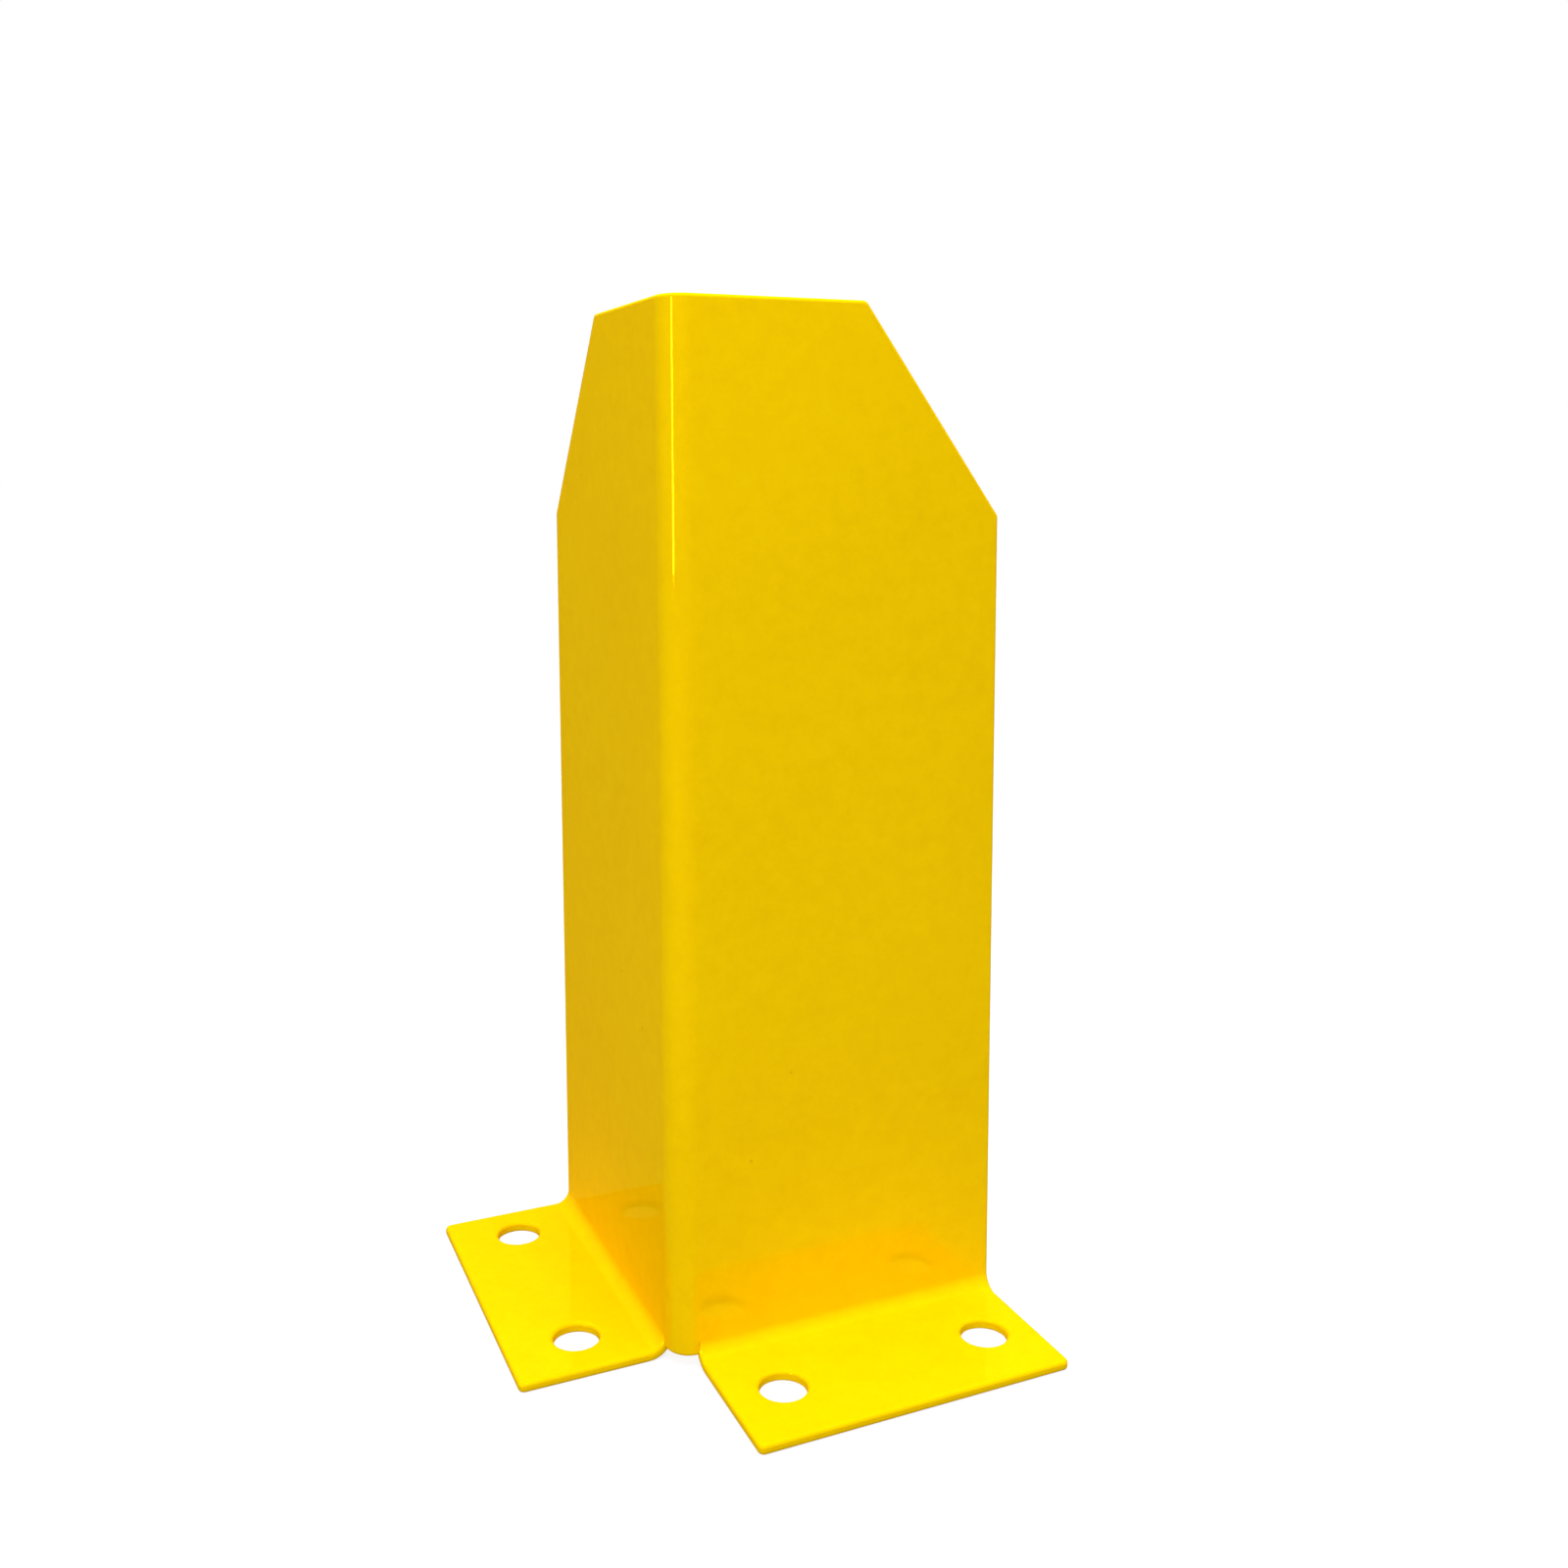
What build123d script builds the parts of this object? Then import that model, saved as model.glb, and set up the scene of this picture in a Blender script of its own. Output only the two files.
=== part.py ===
from build123d import *
import os

# Rack column guard: one sheet of steel, cut out flat and then folded three times.
# The first fold makes the L that stands round the foot of a rack column.
# The other two turn the foot of each wall outwards, as flanges that are bolted to the floor.
# Millimetres, +Z up. The outside corner of the L points to -X -Y.
# The origin lies on the floor, under the middle of the footprint.

# Sheet
sheet_thickness = 4.0
fold_inner_radius = 6.0
corner_round = 2.5  # corners of the cut outline, seen square to the sheet
edge_round = 1.5  # edges of the sheet, softened by deburring and powder coating

# Walls, measured from the sharp outside corner where their outer faces would meet
guard_height = 400.0
wall_width = 138.0
top_width = 80.0  # level part of the top edge
chamfer_drop = 80.0  # from the top edge down to the end of the chamfer

# Flanges
flange_depth = 57.0  # from the outer face of the wall to the free edge
corner_clearance = 4.5  # from the floor to the lower end of the corner fold

# Fixing holes, two in each flange
hole_diameter = 18.0
hole_start_distance = 22.0  # from the notch end of the flange to the centre of the inner hole
hole_end_distance = 20.0  # from the far end of the flange to the centre of the outer hole
hole_edge_distance = 28.5  # from the free edge of the flange to the centres of both
lower_rim_chamfer = 0.5  # on the underside, where the holes are only deburred

fold_outer_radius = fold_inner_radius + sheet_thickness
flange_start = fold_outer_radius  # the flanges begin where the corner fold ends
foot_height = fold_outer_radius  # the walls end and the foot folds begin this far above the floor
flange_length = wall_width - flange_start
diagonal = Plane(origin=(0, 0, 0), z_dir=(1, -1, 0))  # swaps one wall for the other
sharp_turn = 60.0  # degrees between the two faces at a cut edge, well above a seam or a chamfer


def cut_edges(sheet):
    """Edges where the skin of the sheet meets a cut face, so that the two stand at an angle."""
    found = ShapeList()
    for edge in sheet.edges():
        sides = [face for face in sheet.faces() if edge in face.edges()]
        if len(sides) != 2:
            continue
        middle = edge @ 0.5
        turn = sides[0].normal_at(middle).get_angle(sides[1].normal_at(middle))
        if turn > sharp_turn:
            found.append(edge)
    return found


def rounded(sheet):
    """The sheet with its cut edges rounded, apart from those where a wall and its foot join."""
    free_edges = cut_edges(sheet).filter_by(
        lambda edge: abs(edge.center().Z - foot_height) > edge_round
    )
    return fillet(free_edges, edge_round)


def wall_outline():
    """One wall seen from outside: level at the top, then chamfered down to its free edge."""
    outline = Polyline(
        (0, foot_height),
        (wall_width, foot_height),
        (wall_width, guard_height - chamfer_drop),
        (top_width, guard_height),
        (0, guard_height),
        close=True,
    )
    face = make_face(outline)
    chamfer_corners = face.vertices().filter_by(lambda v: v.X > 0 and v.Y > foot_height)
    return fillet(chamfer_corners, corner_round)


def wall_section():
    """The L of both walls cut level, with the corner fold's round outside and inside."""
    skin = FilletPolyline((0, wall_width), (0, 0), (wall_width, 0), radius=fold_outer_radius)
    return make_face(offset(skin, sheet_thickness, side=Side.LEFT))


def walls():
    """Both walls and the corner fold between them, from the foot folds up to the top edge."""
    blank = extrude(wall_section(), guard_height)
    cutter = extrude(Plane.XZ * wall_outline(), -wall_width)
    return rounded(blank & cutter & mirror(cutter, about=diagonal))


def corner_end():
    """The corner fold's lower end, which hangs free in the notch between the two flanges."""
    between_flanges = Rectangle(flange_start, flange_start, align=(Align.MIN, Align.MIN))
    end = extrude(wall_section() & between_flanges, foot_height - corner_clearance)
    lower_arcs = end.faces().sort_by(Axis.Z)[0].edges().filter_by(GeomType.CIRCLE)
    return Pos(0, 0, corner_clearance) * fillet(lower_arcs, edge_round)


def flange_plate():
    """The flat part of the flange along X, with its two fixing holes."""
    flat_depth = flange_depth - fold_inner_radius
    outline = Rectangle(flange_length, flat_depth, align=(Align.MIN, Align.MIN))
    outline = fillet(outline.vertices().group_by(Axis.Y)[0], corner_round)
    for hole_x in (hole_start_distance, flange_length - hole_end_distance):
        outline -= Pos(hole_x, hole_edge_distance) * Circle(hole_diameter / 2)
    plate = extrude(Pos(flange_start, -flange_depth) * outline, sheet_thickness)
    lower_rims = plate.faces().sort_by(Axis.Z)[0].inner_wires().edges()
    return chamfer(lower_rims, lower_rim_chamfer)


def foot():
    """The foot of the wall along X: its fold and its flange."""
    wall_end = Rectangle(flange_length, sheet_thickness, align=(Align.MIN, Align.MIN))
    fold_axis = Axis((0, -fold_inner_radius, foot_height), (-1, 0, 0))
    fold = revolve(Pos(flange_start, 0, foot_height) * wall_end, fold_axis, 90)
    return rounded(fold + flange_plate())


def column_guard():
    """The whole guard, moved so that its footprint is centred on the origin."""
    guard = walls() + corner_end() + foot() + mirror(foot(), about=diagonal)
    footprint_centre = (wall_width - flange_depth) / 2
    return Pos(-footprint_centre, -footprint_centre, 0) * guard


guard = column_guard()
guard.label = "column_guard"
os.makedirs("parts", exist_ok=True)
export_step(guard, "parts/column_guard.step")
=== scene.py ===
import math

import bpy
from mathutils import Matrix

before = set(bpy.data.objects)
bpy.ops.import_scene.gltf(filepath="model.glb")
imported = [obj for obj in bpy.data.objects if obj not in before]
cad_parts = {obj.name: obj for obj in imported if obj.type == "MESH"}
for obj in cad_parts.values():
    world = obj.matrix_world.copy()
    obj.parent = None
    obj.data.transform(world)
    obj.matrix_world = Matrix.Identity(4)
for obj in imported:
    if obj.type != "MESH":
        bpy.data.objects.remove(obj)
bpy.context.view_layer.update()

# A rack column guard of folded steel sheet in yellow powder coat, new, on a pale studio floor.
# Metres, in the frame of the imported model: +Z up, the outside corner of the L points to -X -Y.

bpy.ops.object.select_all(action="DESELECT")


# Small helpers

def linear(hex_colour):
    """An sRGB hex colour as the linear colour that shaders take."""
    channels = []
    for start in (1, 3, 5):
        value = int(hex_colour[start:start + 2], 16) / 255
        if value <= 0.04045:
            channels.append(value / 12.92)
        else:
            channels.append(((value + 0.055) / 1.055) ** 2.4)
    return (*channels, 1.0)


def add_node(tree, kind, settings=None, links=None):
    """Adds a node with these properties or input values, and links these outputs to its inputs."""
    node = tree.nodes.new(kind)
    for name, value in (settings or {}).items():
        if hasattr(node, name):
            setattr(node, name, value)
    sockets = {socket.identifier: socket for socket in node.inputs}
    for name, value in (settings or {}).items():
        if not hasattr(node, name):
            sockets[name].default_value = value
    for name, output in (links or {}).items():
        tree.links.new(output, sockets[name])
    return node


def empty_tree(owner):
    """The node tree of a material or world, switched on and emptied."""
    owner.use_nodes = True
    owner.node_tree.nodes.clear()
    return owner.node_tree


# Powder coat

def glossy_powder_coat():
    """Polyester powder coat, sprayed dry on steel sheet and baked.

    It melts into a thick glossy skin of saturated yellow. The pigment lies so near the surface that
    the gloss itself looks yellow, and mirrors the flanges in the walls. A faint orange peel stays in it.
    """
    material = bpy.data.materials.new("glossy_yellow_powder_coat")
    tree = empty_tree(material)
    place = add_node(tree, "ShaderNodeTexCoord").outputs["Object"]

    # The powder lies a little thicker here and there, 7 cm apart, and hides the steel better there.
    thickness = add_node(
        tree, "ShaderNodeTexNoise",
        {"Scale": 14.0, "Detail": 2.0, "Roughness": 0.5}, {"Vector": place},
    )
    # The grains that melted together leave a mottle of 8 mm down to 1 mm. A single grain is 0.05 mm,
    # which is too fine to show, so this is drawn coarser.
    grains = add_node(
        tree, "ShaderNodeTexNoise",
        {"Scale": 120.0, "Detail": 3.0, "Roughness": 0.85}, {"Vector": place},
    )
    mottle = add_node(
        tree, "ShaderNodeMath", {"operation": "MULTIPLY_ADD", "Value_001": 0.5},
        {"Value": thickness.outputs["Fac"], "Value_002": grains.outputs["Fac"]},
    )
    # Here and there a grain of dust is baked in, under a darker speck of 1.5 mm.
    dust = add_node(tree, "ShaderNodeTexVoronoi", {"Scale": 35.0}, {"Vector": place})
    speck = add_node(
        tree, "ShaderNodeMath", {"operation": "LESS_THAN", "Value_001": 0.026},
        {"Value": dust.outputs["Distance"]},
    )
    specked = add_node(
        tree, "ShaderNodeMath", {"operation": "SUBTRACT"},
        {"Value": mottle.outputs["Value"], "Value_001": speck.outputs["Value"]},
    )
    colour = add_node(tree, "ShaderNodeValToRGB", links={"Fac": specked.outputs["Value"]})
    colour.color_ramp.elements[0].position = 0.0
    colour.color_ramp.elements[0].color = linear("#E2B600")
    colour.color_ramp.elements[1].position = 0.55
    colour.color_ramp.elements[1].color = linear("#F0C300")
    colour.color_ramp.elements.new(0.95).color = linear("#F5CA00")

    # Orange peel: dimples about 2 mm apart on slower waves about 7 mm apart.
    dimples = add_node(
        tree, "ShaderNodeTexNoise",
        {"Scale": 480.0, "Detail": 1.0, "Roughness": 0.4}, {"Vector": place},
    )
    waves = add_node(
        tree, "ShaderNodeTexNoise",
        {"Scale": 140.0, "Detail": 1.0, "Roughness": 0.5}, {"Vector": place},
    )
    slow = add_node(
        tree, "ShaderNodeBump",
        {"Strength": 1.0, "Distance": 0.00002}, {"Height": waves.outputs["Fac"]},
    )
    peel = add_node(
        tree, "ShaderNodeBump",
        {"Strength": 1.0, "Distance": 0.000008},
        {"Height": dimples.outputs["Fac"], "Normal": slow.outputs["Normal"]},
    )

    # The little metallic share is the gloss that the pigment colours. The thin coat over it has a
    # resin's IOR, and whitens only the brightest highlight.
    paint = add_node(
        tree, "ShaderNodeBsdfPrincipled",
        {
            "Metallic": 0.15,
            "Roughness": 0.05,
            "Specular Tint": linear("#FFD000"),
            "IOR": 1.5,
            "Specular IOR Level": 0.0,
            "Coat Weight": 0.015,
            "Coat Roughness": 0.03,
            "Coat IOR": 1.5,
        },
        {
            "Base Color": colour.outputs["Color"],
            "Normal": peel.outputs["Normal"],
            "Coat Normal": peel.outputs["Normal"],
        },
    )
    add_node(tree, "ShaderNodeOutputMaterial", links={"Surface": paint.outputs["BSDF"]})
    return material


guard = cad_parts["column_guard"]
guard.data.materials[0] = glossy_powder_coat()


# Studio

white = linear("#FFFFFF")


def seen_directly(tree):
    """1 where the camera, the gloss or a clear piece sees the surface, and 0 where it lights the guard."""
    rays = add_node(tree, "ShaderNodeLightPath")
    mirrored = add_node(
        tree, "ShaderNodeMath", {"operation": "MAXIMUM"},
        {"Value": rays.outputs["Is Glossy Ray"], "Value_001": rays.outputs["Is Transmission Ray"]},
    )
    seen = add_node(
        tree, "ShaderNodeMath", {"operation": "MAXIMUM"},
        {"Value": rays.outputs["Is Camera Ray"], "Value_001": mirrored.outputs["Value"]},
    )
    return seen.outputs["Value"]


def pale_floor():
    """Matt floor that the camera and the gloss see white, with the guard's own soft shadow on it."""
    material = bpy.data.materials.new("matt_pale_floor")
    tree = empty_tree(material)
    lift = add_node(
        tree, "ShaderNodeMath", {"operation": "MULTIPLY", "Value_001": 0.82},
        {"Value": seen_directly(tree)},
    )
    matt = add_node(tree, "ShaderNodeBsdfDiffuse", {"Color": linear("#7C7C7C")})
    lifted = add_node(
        tree, "ShaderNodeEmission", {"Color": white}, {"Strength": lift.outputs["Value"]},
    )
    both = add_node(
        tree, "ShaderNodeAddShader",
        links={"Shader": matt.outputs["BSDF"], "Shader_001": lifted.outputs["Emission"]},
    )
    add_node(tree, "ShaderNodeOutputMaterial", links={"Surface": both.outputs["Shader"]})
    return material


# The floor lies 0.1 mm under the flanges, so that the two surfaces don't flicker into each other.
bpy.ops.mesh.primitive_plane_add(size=80.0, location=(0.0, 0.0, -0.0001))
floor = bpy.context.object
floor.name = "studio_floor"
bpy.ops.object.transform_apply(location=True, rotation=False, scale=False)
floor.data.materials.append(pale_floor())


def studio_light_above():
    """White backdrop for the camera and the gloss, and a room that lights mostly from overhead."""
    world = bpy.data.worlds.new("studio_room")
    tree = empty_tree(world)
    seen = seen_directly(tree)
    direction = add_node(tree, "ShaderNodeTexCoord").outputs["Generated"]
    height = add_node(tree, "ShaderNodeSeparateXYZ", links={"Vector": direction})
    above = add_node(
        tree, "ShaderNodeMath", {"operation": "MAXIMUM", "Value_001": 0.0},
        {"Value": height.outputs["Z"]},
    )
    rise = add_node(
        tree, "ShaderNodeMath", {"operation": "POWER", "Value_001": 3.0},
        {"Value": above.outputs["Value"]},
    )
    glow = add_node(
        tree, "ShaderNodeMath", {"operation": "MULTIPLY", "Value_001": 1.45},
        {"Value": rise.outputs["Value"]},
    )
    room = add_node(
        tree, "ShaderNodeBackground", {"Color": white}, {"Strength": glow.outputs["Value"]},
    )
    backdrop = add_node(tree, "ShaderNodeBackground", {"Color": white, "Strength": 1.0})
    both = add_node(
        tree, "ShaderNodeMixShader",
        links={
            "Fac": seen,
            "Shader": room.outputs["Background"],
            "Shader_001": backdrop.outputs["Background"],
        },
    )
    add_node(tree, "ShaderNodeOutputWorld", links={"Surface": both.outputs["Shader"]})
    return world


bpy.context.scene.world = studio_light_above()

# Every lamp stands at an azimuth that turns from -Y towards -X. The panels face this height.
aim_height = 0.33


def soft_sun(name, azimuth, elevation, strength, width):
    """A far lamp, this many degrees wide. Strength 1 lights white to white."""
    lamp = bpy.data.lights.new(name, "SUN")
    lamp.energy = strength * math.pi
    lamp.angle = math.radians(width)
    holder = bpy.data.objects.new(name, lamp)
    holder.rotation_euler = (math.radians(90 - elevation), 0.0, -math.radians(azimuth))
    holder.visible_camera = False
    bpy.context.scene.collection.objects.link(holder)
    return holder


def panel_lamp(name, azimuth, elevation, distance, size, radiance):
    """A rectangular lamp near by, so that its light fades along the guard. Radiance 1 is white."""
    lamp = bpy.data.lights.new(name, "AREA")
    lamp.shape = "RECTANGLE"
    lamp.size, lamp.size_y = size
    lamp.energy = radiance * math.pi * size[0] * size[1]
    holder = bpy.data.objects.new(name, lamp)
    turn, tilt = math.radians(azimuth), math.radians(elevation)
    holder.location = (
        -distance * math.sin(turn) * math.cos(tilt),
        -distance * math.cos(turn) * math.cos(tilt),
        aim_height + distance * math.sin(tilt),
    )
    holder.rotation_euler = (math.radians(90 - elevation), 0.0, -turn)
    holder.visible_camera = False
    bpy.context.scene.collection.objects.link(holder)
    return holder


main_lamp = soft_sun("main_lamp", azimuth=4.0, elevation=66.0, strength=0.47, width=80.0)
back_lamp = soft_sun("back_lamp", azimuth=215.0, elevation=10.0, strength=0.15, width=25.0)
overhead_panel = panel_lamp(
    "overhead_panel", azimuth=28.0, elevation=80.0, distance=0.9, size=(1.2, 1.2), radiance=3.3,
)
front_panel = panel_lamp(
    "front_panel", azimuth=12.0, elevation=55.0, distance=0.8, size=(0.5, 0.5), radiance=0.8,
)
low_panel = panel_lamp(
    "low_panel", azimuth=40.0, elevation=-12.0, distance=0.75, size=(0.4, 0.33), radiance=0.5,
)
# The strip draws the bright line down the corner fold.
panel_lamp(
    "strip_lamp", azimuth=58.0, elevation=4.0, distance=1.45, size=(0.06, 0.45), radiance=55.0,
)

# The others only light the guard: its gloss shows the pale room and the strip.
for lamp in (main_lamp, back_lamp, overhead_panel, front_panel, low_panel):
    lamp.visible_glossy = False


# Camera, at the photograph's place

eye = bpy.data.cameras.new("camera")
eye.sensor_width = 36.0
eye.lens = 34.26
eye.shift_x = 0.0356
eye.shift_y = -0.095
eye.clip_end = 200.0
camera = bpy.data.objects.new("camera", eye)
camera.location = (-0.2251, -0.5359, 0.3376)
camera.rotation_euler = (math.radians(83.74), math.radians(0.3), math.radians(-22.83))
bpy.context.scene.collection.objects.link(camera)
bpy.context.scene.camera = camera

bpy.context.scene.view_settings.view_transform = "Standard"
